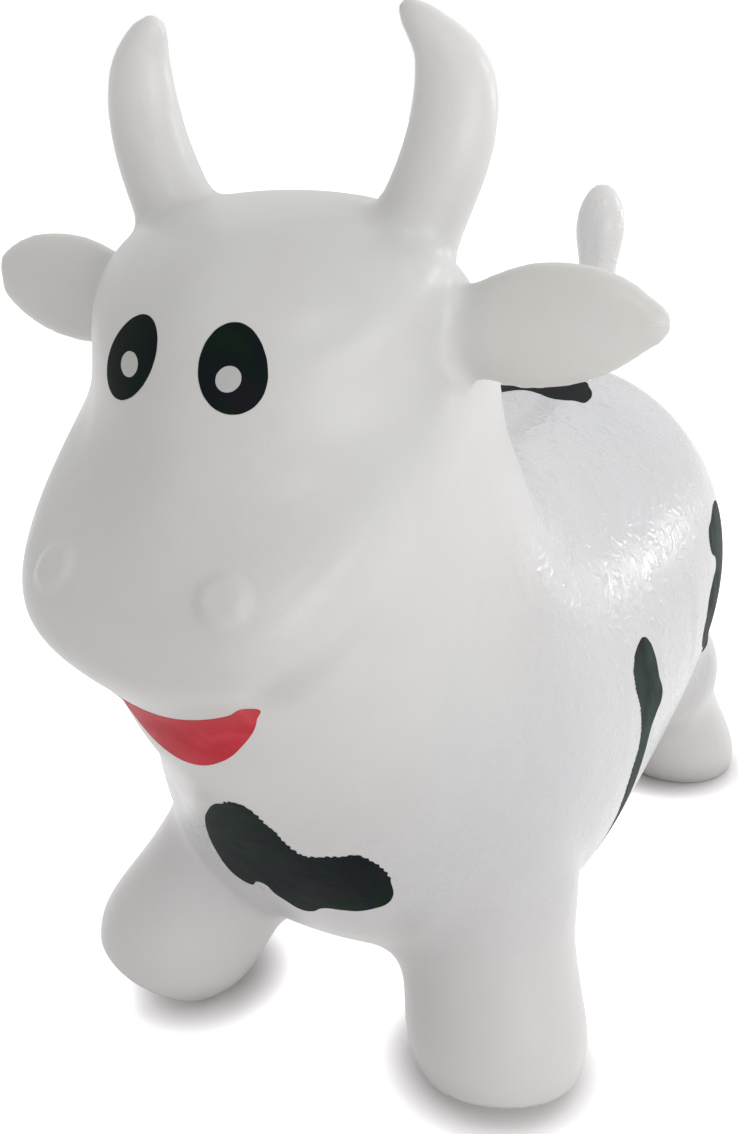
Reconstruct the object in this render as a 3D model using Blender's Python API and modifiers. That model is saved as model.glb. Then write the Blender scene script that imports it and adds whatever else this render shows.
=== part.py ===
"""Bouncy ride-on cow: a hollow blown vinyl skin with two horns to hold, ears, a tail, four stub legs and an air valve.

Metres, +Z up. The cow faces -Y and its left side is +X. The origin is on the floor, under the middle of the
length and the width. One air space fills the body, the legs, the horns, the ears and the tail.
"""

import math

import bmesh
import bpy
from mathutils import Matrix, Vector
from mathutils.bvhtree import BVHTree

# Skin and the clearances between neighbouring pieces
wall = 0.002
touch_gap = 0.0003
film = 0.0005
overrun = 0.020

# Torso, from the chest back to the rump and from the belly up to the back
torso_length = 0.513
torso_height = 0.255
torso_width = 0.262
belly_clearance = 0.050

# Head, from the muzzle back to the nape and from the jaw up to the crown. Its nape and its jaw are placed on the torso.
head_length = 0.268
head_height = 0.237
head_width = 0.170
nape_share = 0.360
jaw_share = 0.588
neck_share = 0.50

# Each ring of the body runs round from its back edge to its front edge. Its row gives the back edge's y and z, the
# front edge's y and z, the half width, how far from back to front the ring is widest, and how square its front is.
torso_ring_shares = (
    (0.975, 0.690, 0.975, 0.220, 0.50, 0.50, 1.00),
    (0.930, 0.865, 0.930, 0.090, 0.76, 0.52, 1.05),
    (0.838, 0.980, 0.838, 0.000, 0.94, 0.53, 1.15),
    (0.710, 1.000, 0.710, -0.03, 1.00, 0.53, 1.30),
    (0.575, 0.980, 0.556, -0.05, 1.00, 0.54, 1.40),
    (0.478, 0.985, 0.400, -0.06, 0.98, 0.56, 1.50),
    (0.400, 1.000, 0.244, -0.06, 0.96, 0.58, 1.50),
    (0.315, 1.050, 0.097, 0.060, 0.89, 0.58, 1.25),
)
head_ring_shares = (
    (0.880, 0.620, 0.235, -0.02, 1.00, 0.50, 1.00),
    (0.850, 0.700, 0.168, 0.084, 0.99, 0.48, 1.00),
    (0.820, 0.770, 0.150, 0.190, 0.99, 0.46, 1.15),
    (0.790, 0.820, 0.065, 0.245, 0.95, 0.45, 1.60),
    (0.755, 0.860, 0.008, 0.310, 0.96, 0.44, 2.20),
    (0.720, 0.890, -0.003, 0.400, 0.98, 0.43, 2.60),
    (0.690, 0.915, 0.037, 0.485, 0.88, 0.43, 1.30),
    (0.660, 0.935, 0.097, 0.561, 0.80, 0.42, 0.75),
    (0.630, 0.955, 0.134, 0.654, 0.86, 0.40, 0.72),
    (0.600, 0.970, 0.157, 0.760, 0.87, 0.40, 0.80),
    (0.570, 0.985, 0.200, 0.870, 0.76, 0.42, 0.90),
    (0.520, 0.995, 0.280, 0.950, 0.50, 0.46, 1.00),
)
body_ring_points = 12

# Legs: each is a stub with its own lean, from a sole with its own tilt up into the torso
leg_radius = 0.045
leg_length = 0.115
foot_height = 0.030
front_sole_height = 0.0069
rear_sole_height = 0.0088
front_sole_place_shares = (0.771, 0.1345)
rear_sole_place_shares = (0.8015, 0.832)
front_leg_lean_shares = (0.42, -0.56)
front_sole_tilt_shares = (0.22, -0.14)
rear_leg_lean_shares = (0.42, 0.30)
rear_sole_tilt_shares = (0.34, 0.00)
leg_settles_share = 0.6
# How far up from its sole each ring of a leg lies, and its radius.
leg_ring_shares = (
    (0.00, 0.45),
    (0.00, 0.80),
    (0.08, 0.98),
    (0.27, 1.02),
    (0.45, 0.98),
    (0.62, 1.02),
    (0.80, 1.10),
    (1.00, 1.10),
    (1.12, 0.75),
)
leg_ring_points = 8

# Horns: how far out, back and up from its root each ring lies, and its radius
horn_height = 0.108
horn_radius = 0.020
horn_root_height = 0.036
horn_place_shares = (0.55, 0.485, 0.83)
horn_ring_shares = (
    (0.00, 0.00, -0.08, 1.00),
    (0.00, 0.00, 0.00, 1.05),
    (0.06, 0.00, 0.22, 1.00),
    (0.18, 0.00, 0.45, 0.92),
    (0.22, -0.01, 0.67, 0.82),
    (0.17, -0.04, 0.86, 0.66),
    (0.06, -0.08, 0.97, 0.27),
)
horn_ring_points = 8

# Ears: how far out and up from its root each ring lies, its half height and its half thickness
ear_length = 0.097
ear_height = 0.048
ear_thickness = 0.024
ear_root_length = 0.038
ear_place_shares = (0.70, 0.470, 0.79)
ear_ring_shares = (
    (0.00, 0.00, 0.62, 0.95),
    (0.16, 0.00, 0.66, 0.95),
    (0.38, 0.02, 0.95, 1.05),
    (0.62, 0.05, 1.04, 1.05),
    (0.84, 0.08, 0.72, 0.75),
    (0.98, 0.08, 0.20, 0.25),
)
ear_ring_points = 8

# Tail: how far back and up from its root each ring lies, and its radius
tail_height = 0.160
tail_radius = 0.0195
tail_root_height = 0.048
tail_place_shares = (0.00, 0.955, 0.83)
tail_ring_shares = (
    (-0.11, -0.10, 0.95),
    (-0.07, 0.06, 0.84),
    (-0.02, 0.22, 0.70),
    (0.00, 0.42, 0.64),
    (0.00, 0.60, 0.66),
    (0.00, 0.74, 0.98),
    (0.00, 0.86, 0.84),
    (0.00, 0.96, 0.34),
)
tail_ring_points = 8

# Eyes and their glints, the mouth and the nostrils
eye_width = 0.0255
eye_height = 0.033
eye_lean = math.radians(8)
eye_place_shares = (0.253, 0.180, 0.770)
glint_radius = 0.0045
glint_drop = 0.003
glint_clearance = 0.0004
face_reach = 0.030
mouth_width = 0.060
mouth_height = 0.030
mouth_place_shares = (0.00, 0.150, 0.140)
mouth_outline_shares = (
    (-0.50, 0.50),
    (-0.25, 0.32),
    (0.00, 0.26),
    (0.25, 0.32),
    (0.50, 0.50),
    (0.42, 0.10),
    (0.24, -0.34),
    (0.00, -0.50),
    (-0.24, -0.34),
    (-0.42, 0.10),
)
nostril_radius = 0.0105
nostril_rise = 0.0035
nostril_place_shares = (0.475, 0.000, 0.462)

# Painted patches: each outline runs round its patch, as shares of the patch's own width and height
patch_reach = 0.060
chest_patch_width = 0.084
chest_patch_height = 0.087
chest_patch_place_shares = (0.107, 0.000, 0.396)
chest_patch_shares = (
    (-0.37, 0.30),
    (-0.20, 0.46),
    (-0.03, 0.50),
    (0.03, 0.34),
    (0.09, 0.15),
    (0.20, 0.10),
    (0.36, 0.11),
    (0.47, 0.01),
    (0.50, -0.16),
    (0.43, -0.32),
    (0.31, -0.40),
    (0.18, -0.41),
    (0.03, -0.48),
    (-0.14, -0.40),
    (-0.24, -0.30),
    (-0.34, -0.36),
    (-0.45, -0.30),
    (-0.50, -0.11),
    (-0.47, 0.07),
)
flank_patch_width = 0.057
flank_patch_height = 0.124
flank_patch_place_shares = (1.000, 0.386, 0.340)
flank_patch_shares = (
    (0.12, 0.50),
    (0.32, 0.36),
    (0.46, 0.22),
    (0.42, 0.08),
    (0.22, -0.04),
    (0.00, -0.16),
    (-0.14, -0.34),
    (-0.36, -0.50),
    (-0.50, -0.36),
    (-0.44, -0.16),
    (-0.28, 0.02),
    (-0.22, 0.16),
    (-0.26, 0.32),
    (-0.14, 0.46),
)
rump_patch_width = 0.080
rump_patch_height = 0.100
rump_patch_place_shares = (1.000, 0.735, 0.500)
rump_patch_shares = (
    (0.05, 0.50),
    (0.34, 0.42),
    (0.50, 0.18),
    (0.42, -0.06),
    (0.48, -0.30),
    (0.26, -0.48),
    (-0.04, -0.44),
    (-0.16, -0.20),
    (-0.46, -0.12),
    (-0.48, 0.12),
    (-0.22, 0.24),
    (-0.18, 0.42),
)
back_patch_width = 0.096
back_patch_length = 0.086
back_patch_place_shares = (-0.03, 0.660, 1.000)
back_patch_shares = (
    (-0.10, 0.48),
    (0.20, 0.50),
    (0.46, 0.34),
    (0.50, 0.02),
    (0.34, -0.22),
    (0.14, -0.26),
    (-0.06, -0.44),
    (-0.34, -0.50),
    (-0.50, -0.26),
    (-0.36, -0.02),
    (-0.44, 0.26),
)

# Valve on the belly: a collar that grips the edge of a hole in the skin, and a push-in plug
valve_place_share = 0.46
valve_hole_radius = 0.0090
valve_collar_radius = 0.0135
valve_lip = 0.0018
valve_collar_depth = 0.0150
valve_bore_radius = 0.0050
plug_cap_radius = 0.0080
plug_cap_thickness = 0.0018
plug_length = 0.0150
plug_clearance = 0.0003
plug_taper = 0.0008
turned_steps = 32

# Colours and finishes
vinyl_colour = (0.76, 0.77, 0.80)
horn_colour = (0.62, 0.62, 0.60)
foot_colour = (0.58, 0.56, 0.56)
paint_colour = (0.010, 0.016, 0.014)
mouth_colour = (0.66, 0.035, 0.045)
glint_colour = (0.80, 0.80, 0.78)
valve_colour = (0.70, 0.71, 0.73)
vinyl_roughness = 0.32
head_roughness = 0.42
paint_roughness = 0.55

collection_name = "bouncy_cow"
cutters_name = "cutters"


def in_torso(x_share, y_share, z_share):
    """A place given as shares of the torso: half its width, its length from the chest, its height from the belly."""
    whole_length = torso_length * (1 - nape_share) + head_length
    chest_y = whole_length / 2 - torso_length
    return Vector((
        x_share * torso_width / 2,
        chest_y + y_share * torso_length,
        belly_clearance + z_share * torso_height,
    ))


def in_head(x_share, y_share, z_share):
    """A place given as shares of the head: half its width, its length from the muzzle, its height from the jaw."""
    nape = in_torso(0, nape_share, jaw_share)
    return nape + Vector((x_share * head_width / 2, (y_share - 1) * head_length, z_share * head_height))


def on_side(place, side):
    """The place, or its mirror image on the cow's right side."""
    return Vector((place.x * side, place.y, place.z))


def clear_scene():
    for obj in list(bpy.data.objects):
        bpy.data.objects.remove(obj, do_unlink=True)
    for name in (collection_name, cutters_name):
        collection = bpy.data.collections.new(name)
        bpy.context.scene.collection.children.link(collection)
    frame = bpy.data.objects.new("floor_frame", None)
    bpy.data.collections[collection_name].objects.link(frame)


def material(name, colour, roughness):
    """The named vinyl or paint, made once."""
    found = bpy.data.materials.get(name)
    if found:
        return found
    made = bpy.data.materials.new(name)
    made.use_nodes = True
    shader = made.node_tree.nodes["Principled BSDF"]
    shader.inputs["Base Color"].default_value = (*colour, 1)
    shader.inputs["Roughness"].default_value = roughness
    shader.inputs["Metallic"].default_value = 0
    made.diffuse_color = (*colour, 1)
    return made


def add_piece(name, mesh, finish, place=Vector()):
    """A named piece whose mesh is drawn about its own origin, which stands at the place."""
    obj = bpy.data.objects.new(name, mesh)
    bpy.data.collections[collection_name].objects.link(obj)
    obj.parent = bpy.data.objects["floor_frame"]
    obj.location = place
    obj.data.materials.clear()
    obj.data.materials.append(finish)
    return obj


def add_cutter(name, mesh, place=Vector()):
    obj = bpy.data.objects.new(name, mesh)
    bpy.data.collections[cutters_name].objects.link(obj)
    obj.parent = bpy.data.objects["floor_frame"]
    obj.location = place
    obj.hide_render = True
    obj.display_type = "WIRE"
    return obj


def cage(name, rings):
    """A closed cage of rings joined each to the next, with a face over each end."""
    mesh = bpy.data.meshes.new(name)
    bm = bmesh.new()
    loops = [[bm.verts.new(point) for point in ring] for ring in rings]
    for ring, following in zip(loops, loops[1:]):
        for i in range(len(ring)):
            j = (i + 1) % len(ring)
            bm.faces.new((ring[i], ring[j], following[j], following[i]))
    bm.faces.new(loops[0])
    bm.faces.new(loops[-1])
    bmesh.ops.recalc_face_normals(bm, faces=bm.faces)
    bm.to_mesh(mesh)
    bm.free()
    mesh.shade_smooth()
    return mesh


def ring_growth(points):
    """How much wider than the finished surface a ring of so many points is, as subdivision draws it in."""
    return 3 / (2 + math.cos(2 * math.pi / points))


def round_ring(centre, half_x, half_y, points, turn):
    """An oval ring of cage points about the centre, in the plane that the turn gives."""
    growth = ring_growth(points)
    ring = []
    for i in range(points):
        angle = 2 * math.pi * i / points
        flat = Vector((half_x * math.cos(angle), half_y * math.sin(angle), 0))
        ring.append(centre + turn @ flat * growth)
    return ring


def body_ring(back, front, half_width, widest_share, squareness):
    """A ring of the body in the plane through its back and front edges, rounder or squarer towards the front."""
    growth = ring_growth(body_ring_points)
    middle = back.lerp(front, widest_share)
    ring = []
    for i in range(body_ring_points):
        angle = 2 * math.pi * i / body_ring_points
        across = math.sin(angle)
        end = back
        if math.cos(angle) < 0:
            across = math.copysign(abs(across) ** (1 / squareness), across)
            end = front
        point = middle.lerp(end, abs(math.cos(angle)) * growth)
        ring.append(point + Vector((across * half_width * growth, 0, 0)))
    return ring


def ring_sizes(row, place, half_width):
    """A row of a table of rings as its back edge, front edge, half width, widest place and squareness."""
    back_y, back_z, front_y, front_z, width, widest, squareness = row
    return place(0, back_y, back_z), place(0, front_y, front_z), half_width * width, widest, squareness


def neck_ring():
    """The ring between the torso's last and the head's first."""
    below = ring_sizes(torso_ring_shares[-1], in_torso, torso_width / 2)
    above = ring_sizes(head_ring_shares[0], in_head, head_width / 2)
    return tuple(low + (high - low) * neck_share for low, high in zip(below, above))


def body_cage():
    """The torso, the neck and the head as one cage, from the rump to the crown."""
    rings = [ring_sizes(row, in_torso, torso_width / 2) for row in torso_ring_shares]
    rings.append(neck_ring())
    rings += [ring_sizes(row, in_head, head_width / 2) for row in head_ring_shares]
    return cage("body", [body_ring(*sizes) for sizes in rings])


def round_off(obj):
    """The smooth surface that the cage gives, cut into triangles the same way in every copy of it."""
    modifier = obj.modifiers.new("round_off", "SUBSURF")
    modifier.levels = 1
    modifier.render_levels = 1
    modifier = obj.modifiers.new("triangles", "TRIANGULATE")
    modifier.quad_method = "FIXED"


def give_wall(obj):
    """The skin's thickness, laid inwards from the surface."""
    modifier = obj.modifiers.new("wall", "SOLIDIFY")
    modifier.thickness = wall
    modifier.offset = -1


def swell(obj, amount):
    modifier = obj.modifiers.new("swell", "DISPLACE")
    modifier.mid_level = 0
    modifier.strength = amount


def boolean(obj, cutter, operation="DIFFERENCE"):
    modifier = obj.modifiers.new(cutter.name, "BOOLEAN")
    modifier.object = cutter
    modifier.operation = operation
    modifier.solver = "EXACT"


def half_space(name, point, normal):
    """A block with one face in the plane through the point, filling the side that the normal points to."""
    size = 2 * (torso_length + head_height)
    mesh = bpy.data.meshes.new(name)
    bm = bmesh.new()
    bmesh.ops.create_cube(bm, size=size)
    bmesh.ops.translate(bm, verts=bm.verts, vec=(0, 0, size / 2))
    bm.to_mesh(mesh)
    bm.free()
    obj = add_cutter(name, mesh, point)
    obj.rotation_euler = normal.to_track_quat("Z", "Y").to_euler()
    return obj


def filled_body(mesh):
    """The body without its hollow, grown by the clearance, where the limbs' skins stop."""
    filled = add_cutter("filled_body", mesh)
    round_off(filled)
    swell(filled, touch_gap)
    return filled


def limb_piece(name, mesh, place, finish):
    """A limb's skin as an object of its own, about its joint."""
    obj = add_piece(name, mesh, finish, place)
    round_off(obj)
    give_wall(obj)
    return obj


def split_limb(name, root_name, mesh, place, plane_point, plane_normal, filled, finish):
    """A limb that flexes: the end that moves and the root that bends. Returns the moving end and the air space."""
    half_gap = plane_normal.normalized() * touch_gap / 2
    moving = limb_piece(name, mesh, place, finish)
    outer = half_space(name + "_side", plane_point + half_gap, plane_normal)
    boolean(moving, outer, "INTERSECT")
    root = limb_piece(root_name, mesh.copy(), place, finish)
    inner = half_space(root_name + "_side", plane_point - half_gap, plane_normal)
    boolean(root, inner)
    boolean(root, filled)
    bore = add_cutter(name + "_bore", mesh.copy(), place)
    round_off(bore)
    swell(bore, -wall)
    return moving, bore


def leg(name, sole, lean, tilt, side, filled):
    """A stub leg: the foot that moves when the cow bounces, and the leg that squashes above it."""
    down = Vector((lean[0] * side, lean[1], -1)).normalized()
    flat = Vector((tilt[0] * side, tilt[1], -1)).normalized()
    rings = []
    for up, radius in leg_ring_shares:
        facing = flat.lerp(down, min(1, up / leg_settles_share))
        turn = facing.to_track_quat("-Z", "Y").to_matrix()
        size = radius * leg_radius
        rings.append(round_ring(-down * up * leg_length, size, size, leg_ring_points, turn))
    mesh = cage(name, rings)
    finish = material("foot_vinyl", foot_colour, head_roughness)
    ankle = sole - flat * foot_height
    foot, bore = split_limb(name + "_foot", name + "_leg", mesh, sole, ankle, flat, filled, finish)
    boolean(foot, bpy.data.objects["floor"])
    return bore


def horn(name, side, filled):
    """A blown horn to hold on by, which bows outwards and comes in again to its tip.

    Returns its air space, and its whole form grown by the clearance, where the ear's skin beside it stops.
    """
    place = on_side(in_head(*horn_place_shares), side)
    rings = []
    for out, back, up, radius in horn_ring_shares:
        centre = Vector((out * side, back, up)) * horn_height
        size = radius * horn_radius
        rings.append(round_ring(centre, size, size, horn_ring_points, Matrix.Identity(3)))
    mesh = cage(name, rings)
    plane = place + Vector((0, 0, horn_root_height))
    finish = material("horn_vinyl", horn_colour, head_roughness)
    bore = split_limb(name, name + "_root", mesh, place, plane, Vector((0, 0, 1)), filled, finish)[1]
    whole = add_cutter(name + "_form", mesh.copy(), place)
    round_off(whole)
    swell(whole, touch_gap)
    return bore, whole


def ear(name, side, filled, neighbour):
    """A full leaf-shaped ear that stands out sideways, just below the horn that is its neighbour."""
    place = on_side(in_head(*ear_place_shares), side)
    turn = Matrix.Rotation(math.pi / 2, 3, "Y")
    rings = []
    for out, up, high, thick in ear_ring_shares:
        centre = Vector((out * side, 0, up)) * ear_length
        half_height = high * ear_height / 2
        half_thickness = thick * ear_thickness / 2
        rings.append(round_ring(centre, half_height, half_thickness, ear_ring_points, turn))
    mesh = cage(name, rings)
    plane = place + Vector((ear_root_length * side, 0, 0))
    finish = material("horn_vinyl", horn_colour, head_roughness)
    bore = split_limb(name, name + "_root", mesh, place, plane, Vector((side, 0, 0)), filled, finish)[1]
    boolean(bpy.data.objects[name + "_root"], neighbour)
    return bore


def tail(filled):
    """An upright tail with a pointed tuft."""
    place = in_torso(*tail_place_shares)
    rings = []
    for back, up, radius in tail_ring_shares:
        size = radius * tail_radius
        centre = Vector((0, back, up)) * tail_height
        rings.append(round_ring(centre, size, size, tail_ring_points, Matrix.Identity(3)))
    mesh = cage("tail", rings)
    plane = place + Vector((0, 0, tail_root_height))
    finish = material("body_vinyl", vinyl_colour, vinyl_roughness)
    return split_limb("tail", "tail_root", mesh, place, plane, Vector((0, 0, 1)), filled, finish)[1]


def mesh_of_curve(obj):
    """The curve's solid as a mesh, with its caps welded to its sides. The curve is removed."""
    graph = bpy.context.evaluated_depsgraph_get()
    mesh = bpy.data.meshes.new_from_object(obj.evaluated_get(graph))
    bm = bmesh.new()
    bm.from_mesh(mesh)
    bmesh.ops.remove_doubles(bm, verts=bm.verts, dist=touch_gap / 10)
    bmesh.ops.recalc_face_normals(bm, faces=bm.faces)
    bm.to_mesh(mesh)
    bm.free()
    bpy.data.objects.remove(obj)
    return mesh


def outline_cutter(name, outline, width, height, centre, facing, reach):
    """A prism of a smooth closed outline, which faces the way given and reaches as far to either side."""
    curve = bpy.data.curves.new(name, "CURVE")
    curve.dimensions = "2D"
    curve.fill_mode = "BOTH"
    curve.extrude = reach
    curve.resolution_u = 3
    spline = curve.splines.new("BEZIER")
    spline.bezier_points.add(len(outline) - 1)
    for point, (across, up) in zip(spline.bezier_points, outline):
        point.co = (across * width, up * height, 0)
        point.handle_left_type = "AUTO"
        point.handle_right_type = "AUTO"
    spline.use_cyclic_u = True
    obj = bpy.data.objects.new(name + "_curve", curve)
    bpy.data.collections[cutters_name].objects.link(obj)
    bpy.context.view_layer.update()
    cutter = add_cutter(name + "_outline", mesh_of_curve(obj), centre)
    cutter.rotation_euler = facing.to_track_quat("Z", "Y").to_euler()
    return cutter


def oval(count=16):
    """An oval outline that just fills its width and its height."""
    steps = [2 * math.pi * i / count for i in range(count)]
    return [(math.cos(angle) / 2, math.sin(angle) / 2) for angle in steps]


def painted(name, body_mesh, outline, finish):
    """A film of paint that follows the body's skin inside its outline."""
    obj = add_piece(name, body_mesh.copy(), finish)
    round_off(obj)
    swell(obj, touch_gap)
    modifier = obj.modifiers.new("film", "SOLIDIFY")
    modifier.thickness = film
    modifier.offset = 1
    boolean(obj, outline, "INTERSECT")
    return obj


def eye(name, side, body_mesh):
    """A black oval eye with a round white glint let into it."""
    centre = on_side(in_head(*eye_place_shares), side)
    forward = Vector((0, -1, 0))
    paint = material("black_paint", paint_colour, paint_roughness)
    leaning = []
    for across, up in oval():
        leaning.append((across - up * math.tan(eye_lean) * side * eye_height / eye_width, up))
    outline = outline_cutter(name, leaning, eye_width, eye_height, centre, forward, face_reach)
    black = painted(name, body_mesh, outline, paint)
    low = centre - Vector((0, 0, glint_drop))
    hole_width = 2 * (glint_radius + glint_clearance)
    boolean(black, outline_cutter(name + "_hole", oval(), hole_width, hole_width, low, forward, face_reach))
    glint_width = 2 * glint_radius
    spot = outline_cutter(name + "_glint", oval(), glint_width, glint_width, low, forward, face_reach)
    painted(name + "_glint", body_mesh, spot, material("white_paint", glint_colour, paint_roughness))


def mouth(body_mesh):
    """A red smile under the overhang of the muzzle."""
    centre = in_head(*mouth_place_shares)
    forward = Vector((0, -1, 0))
    outline = outline_cutter("mouth", mouth_outline_shares, mouth_width, mouth_height, centre, forward, face_reach)
    painted("mouth", body_mesh, outline, material("red_paint", mouth_colour, paint_roughness))


def patches(body_mesh):
    """The cow's black patches: chest, back, and one each side on the flank and the rump."""
    paint = material("black_paint", paint_colour, paint_roughness)
    chest = outline_cutter(
        "chest_patch", chest_patch_shares, chest_patch_width, chest_patch_height,
        in_torso(*chest_patch_place_shares), Vector((0, -1, 0)), patch_reach,
    )
    painted("chest_patch", body_mesh, chest, paint)
    back = outline_cutter(
        "back_patch", back_patch_shares, back_patch_width, back_patch_length,
        in_torso(*back_patch_place_shares), Vector((0, 0, 1)), patch_reach,
    )
    painted("back_patch", body_mesh, back, paint)
    sides = (
        ("flank_patch", flank_patch_shares, flank_patch_width, flank_patch_height, flank_patch_place_shares),
        ("rump_patch", rump_patch_shares, rump_patch_width, rump_patch_height, rump_patch_place_shares),
    )
    for label, outline, width, height, place in sides:
        for word, side in (("left", 1), ("right", -1)):
            turned_outline = [(across * side, up) for across, up in outline]
            centre = on_side(in_torso(*place), side)
            name = f"{word}_{label}"
            cutter = outline_cutter(name, turned_outline, width, height, centre, Vector((side, 0, 0)), patch_reach)
            painted(name, body_mesh, cutter, paint)


def nostrils(head, tree):
    """Two low round bosses moulded on the muzzle."""
    for word, side in (("left", 1), ("right", -1)):
        aim = on_side(in_head(*nostril_place_shares), side)
        point, normal, _, _ = tree.ray_cast(aim - Vector((0, head_length, 0)), Vector((0, 1, 0)))
        mesh = bpy.data.meshes.new(word + "_nostril")
        bm = bmesh.new()
        bmesh.ops.create_uvsphere(bm, u_segments=16, v_segments=8, radius=nostril_radius)
        bmesh.ops.scale(bm, vec=(1, 1, nostril_rise / nostril_radius), verts=bm.verts)
        bm.to_mesh(mesh)
        bm.free()
        boss = add_cutter(word + "_nostril_boss", mesh, point)
        boss.rotation_euler = normal.to_track_quat("Z", "Y").to_euler()
        boolean(head, boss, "UNION")


def turned(name, profile, place, finish):
    """A turned piece: its profile runs from the top down its outer side, and a Screw turns it about Z."""
    mesh = bpy.data.meshes.new(name)
    bm = bmesh.new()
    points = [bm.verts.new((radius, 0, height)) for radius, height in profile]
    for first, second in zip(points, points[1:]):
        bm.edges.new((first, second))
    if profile[0][0] > 0:
        bm.edges.new((points[-1], points[0]))
    bm.to_mesh(mesh)
    bm.free()
    obj = add_piece(name, mesh, finish, place)
    modifier = obj.modifiers.new("turn", "SCREW")
    modifier.steps = turned_steps
    modifier.render_steps = turned_steps
    modifier.use_merge_vertices = True
    modifier.merge_threshold = touch_gap / 10
    return obj


def valve(tree):
    """A collar in the belly's hole with a lip below the skin, and the plug that closes it."""
    start = in_torso(0, valve_place_share, -1)
    belly, _, _, _ = tree.ray_cast(start, Vector((0, 0, 1)))
    finish = material("valve_vinyl", valve_colour, vinyl_roughness)
    neck = valve_hole_radius - touch_gap
    lip_top = -touch_gap
    lip_bottom = lip_top - valve_lip
    collar = (
        (valve_bore_radius, valve_collar_depth),
        (neck, valve_collar_depth),
        (neck, lip_top),
        (valve_collar_radius, lip_top),
        (valve_collar_radius, lip_bottom),
        (valve_bore_radius, lip_bottom),
    )
    turned("valve_collar", collar, belly, finish)
    shank = valve_bore_radius - plug_clearance
    cap_top = lip_bottom - touch_gap
    plug = (
        (0, cap_top + plug_length),
        (shank - plug_taper, cap_top + plug_length),
        (shank, cap_top),
        (plug_cap_radius, cap_top),
        (plug_cap_radius, cap_top - plug_cap_thickness),
        (0, cap_top - plug_cap_thickness),
    )
    turned("valve_plug", plug, belly, finish)
    mesh = bpy.data.meshes.new("valve_hole")
    bm = bmesh.new()
    bmesh.ops.create_cone(
        bm, cap_ends=True, segments=turned_steps, radius1=valve_hole_radius, radius2=valve_hole_radius,
        depth=2 * overrun,
    )
    bm.to_mesh(mesh)
    bm.free()
    return add_cutter("valve_hole", mesh, belly)


def neck_plane():
    """A point and the upward normal of the plane halfway between the neck's ring and the head's first."""
    neck_back, neck_front, _, _, _ = neck_ring()
    head_back, head_front, _, _, _ = ring_sizes(head_ring_shares[0], in_head, head_width / 2)
    back = (neck_back + head_back) / 2
    front = (neck_front + head_front) / 2
    along = back - front
    normal = Vector((0, -along.z, along.y)).normalized()
    return (back + front) / 2, normal


def main():
    clear_scene()
    body_mesh = body_cage()
    filled = filled_body(body_mesh)
    half_space("floor", Vector(), Vector((0, 0, -1)))
    bpy.context.view_layer.update()
    tree = BVHTree.FromObject(filled, bpy.context.evaluated_depsgraph_get())

    vinyl = material("body_vinyl", vinyl_colour, vinyl_roughness)
    head_vinyl = material("head_vinyl", horn_colour, head_roughness)
    neck, upward = neck_plane()
    half_gap = upward * touch_gap / 2
    torso = add_piece("torso_skin", body_mesh.copy(), vinyl)
    head = add_piece("head_skin", body_mesh.copy(), head_vinyl)
    for obj in (torso, head):
        round_off(obj)
        give_wall(obj)
    boolean(torso, half_space("above_neck", neck - half_gap, upward))
    boolean(head, half_space("head_side", neck + half_gap, upward), "INTERSECT")

    front_sole = in_torso(*front_sole_place_shares, 0)
    front_sole.z = front_sole_height
    rear_sole = in_torso(*rear_sole_place_shares, 0)
    rear_sole.z = rear_sole_height
    for word, side in (("left", 1), ("right", -1)):
        pairs = (
            ("front", front_sole, front_leg_lean_shares, front_sole_tilt_shares),
            ("rear", rear_sole, rear_leg_lean_shares, rear_sole_tilt_shares),
        )
        for end, sole, lean, tilt in pairs:
            boolean(torso, leg(f"{end}_{word}", on_side(sole, side), lean, tilt, side, filled))
        horn_bore, horn_form = horn(f"{word}_horn", side, filled)
        boolean(head, horn_bore)
        boolean(head, ear(f"{word}_ear", side, filled, horn_form))
        eye(f"{word}_eye", side, body_mesh)
    boolean(torso, tail(filled))
    boolean(torso, valve(tree))
    nostrils(head, tree)
    mouth(body_mesh)
    patches(body_mesh)


main()
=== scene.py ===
"""Looks of the bouncy ride-on cow.

One blown vinyl skin with painted eyes, mouth and patches, and an air valve.
"""

import math

import bmesh
import bpy
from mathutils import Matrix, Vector


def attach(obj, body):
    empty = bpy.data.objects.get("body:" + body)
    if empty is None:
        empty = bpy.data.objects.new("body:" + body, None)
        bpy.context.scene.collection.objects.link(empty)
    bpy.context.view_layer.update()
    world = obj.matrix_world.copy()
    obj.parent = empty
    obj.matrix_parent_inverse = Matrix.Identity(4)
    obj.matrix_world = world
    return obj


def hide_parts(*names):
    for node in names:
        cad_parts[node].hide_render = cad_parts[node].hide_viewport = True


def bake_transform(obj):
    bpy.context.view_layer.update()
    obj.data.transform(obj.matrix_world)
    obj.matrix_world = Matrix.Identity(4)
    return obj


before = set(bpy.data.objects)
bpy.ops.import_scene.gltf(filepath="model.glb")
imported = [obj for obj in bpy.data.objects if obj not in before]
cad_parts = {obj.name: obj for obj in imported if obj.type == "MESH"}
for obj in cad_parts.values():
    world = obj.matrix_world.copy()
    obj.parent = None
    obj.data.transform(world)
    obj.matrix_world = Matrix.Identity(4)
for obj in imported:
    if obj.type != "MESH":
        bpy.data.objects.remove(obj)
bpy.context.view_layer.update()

# Outlines of the painted marks. The chest's and the mouth's are x and z, the back's x and y, and
# the flank's and the rump's y and z.
mouth_outline = (
    (-.0376, .2612), (-.0283, .2568), (-.0150, .2526), (0, .2506), (.0150, .2526), (.0283, .2568),
    (.0376, .2612), (.0346, .2518), (.0262, .2378), (.0135, .2257), (0, .2215), (-.0135, .2257),
    (-.0262, .2378), (-.0346, .2518),
)
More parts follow.
